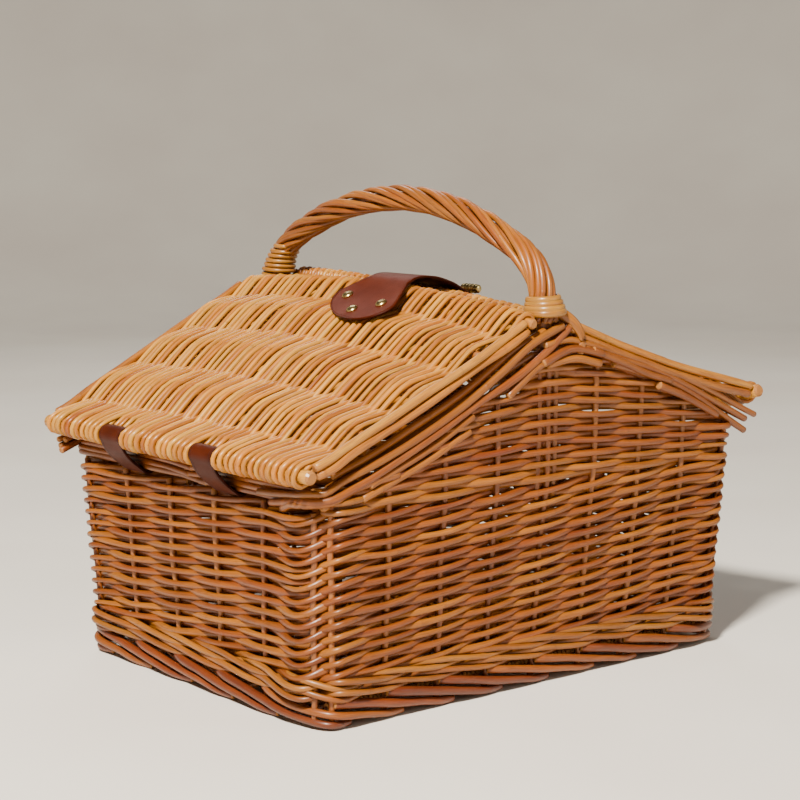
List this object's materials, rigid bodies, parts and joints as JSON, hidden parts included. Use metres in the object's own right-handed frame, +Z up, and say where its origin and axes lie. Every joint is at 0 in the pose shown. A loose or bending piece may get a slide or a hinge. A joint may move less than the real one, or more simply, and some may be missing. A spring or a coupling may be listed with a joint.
{
  "type": "wicker picnic basket",
  "caption": "Rectangular woven wicker picnic basket with gabled ends, sloping lids hinged on leather loops, a fixed roped carrying handle and a leather closing strap with a turn-lock.",
  "frame": {"origin": "middle of the foot, at the height of the surface that the basket stands on", "axes": "+Z up, +X across the ridge from the lid that carries the strap to the lid that carries the turn-lock, +Y along the ridge and the handle"},
  "size_m": [0.445, 0.34, 0.3479],
  "materials": {
    "wicker_wall": "varnished willow, orange-brown",
    "wicker_foot": "varnished willow, reddish brown",
    "wicker_border": "varnished willow, orange-brown",
    "wicker_stake": "varnished willow",
    "wicker_lid": "varnished willow, honey",
    "wicker_lid_rod": "varnished willow",
    "wicker_handle": "varnished willow",
    "cane_binding": "split cane",
    "leather_tan": "smooth saddle leather",
    "leather_dark": "smooth dark brown leather",
    "brass": "polished, slightly worn"
  },
  "bodies": {
    "tub": {"base_sticks": "wicker_stake", "base_weave": "wicker_wall", "eave_border_left": "wicker_border", "eave_border_right": "wicker_border", "foot_border_back": "wicker_foot", "foot_border_front": "wicker_foot", "foot_border_left": "wicker_foot", "foot_border_right": "wicker_foot", "gable_border_back_left": "wicker_border", "gable_border_back_right": "wicker_border", "gable_border_front_left": "wicker_border", "gable_border_front_right": "wicker_border", "handle_binding_back": "cane_binding", "handle_binding_front": "cane_binding", "handle_bow": "wicker_handle", "handle_rope": "wicker_handle", "hinge_rivets_left": "brass", "hinge_rivets_right": "brass", "hinge_strap_left_back": "leather_dark", "hinge_strap_left_front": "leather_dark", "hinge_strap_right_back": "leather_dark", "hinge_strap_right_front": "leather_dark", "lower_wale_back": "wicker_foot", "lower_wale_front": "wicker_foot", "lower_wale_left": "wicker_foot", "lower_wale_right": "wicker_foot", "stakes_back": "wicker_stake", "stakes_front": "wicker_stake", "stakes_left": "wicker_stake", "stakes_right": "wicker_stake", "wall_weave_back": "wicker_wall", "wall_weave_front": "wicker_wall", "wall_weave_left": "wicker_wall", "wall_weave_right": "wicker_wall"},
    "lid_left": {"closing_strap_base": "leather_tan", "closing_strap_rivets": "brass", "lid_left_edge_rod": "wicker_lid_rod", "lid_left_ridge_rod": "wicker_lid_rod", "lid_left_side_rods": "wicker_lid_rod", "lid_left_sticks": "wicker_lid_rod", "lid_left_weave": "wicker_lid"},
    "lid_right": {"lid_right_edge_rod": "wicker_lid_rod", "lid_right_ridge_rod": "wicker_lid_rod", "lid_right_side_rods": "wicker_lid_rod", "lid_right_sticks": "wicker_lid_rod", "lid_right_weave": "wicker_lid", "turnlock_plate": "brass", "turnlock_tacks": "brass"},
    "closing_strap": {"closing_strap_flap": "leather_tan"},
    "turnlock": {"turnlock_toggle": "brass"}
  },
  "joints": [
    {"name": "lid_left_hinge", "type": "hinge", "parent": "tub", "child": "lid_left", "pos_m": [-0.213, 0, 0.1775], "axis": [0, -1, 0], "range_deg": [0, 195], "deforming": ["closing_strap_flap"]},
    {"name": "lid_right_hinge", "type": "hinge", "parent": "tub", "child": "lid_right", "pos_m": [0.213, 0, 0.1775], "axis": [0, 1, 0], "range_deg": [0, 195], "deforming": ["closing_strap_flap"]},
    {"name": "strap_lift", "type": "hinge", "parent": "lid_left", "child": "closing_strap", "pos_m": [-0.02, 0, 0.2715], "axis": [0, -1, 0], "range_deg": [0, 110], "deforming": ["closing_strap_flap"]},
    {"name": "turnlock_turn", "type": "hinge", "parent": "lid_right", "child": "turnlock", "pos_m": [0.05776, 0, 0.25311], "axis": [0.4379, 0, 0.899], "range_deg": [0, 90], "deforming": ["closing_strap_flap"]}
  ]
}
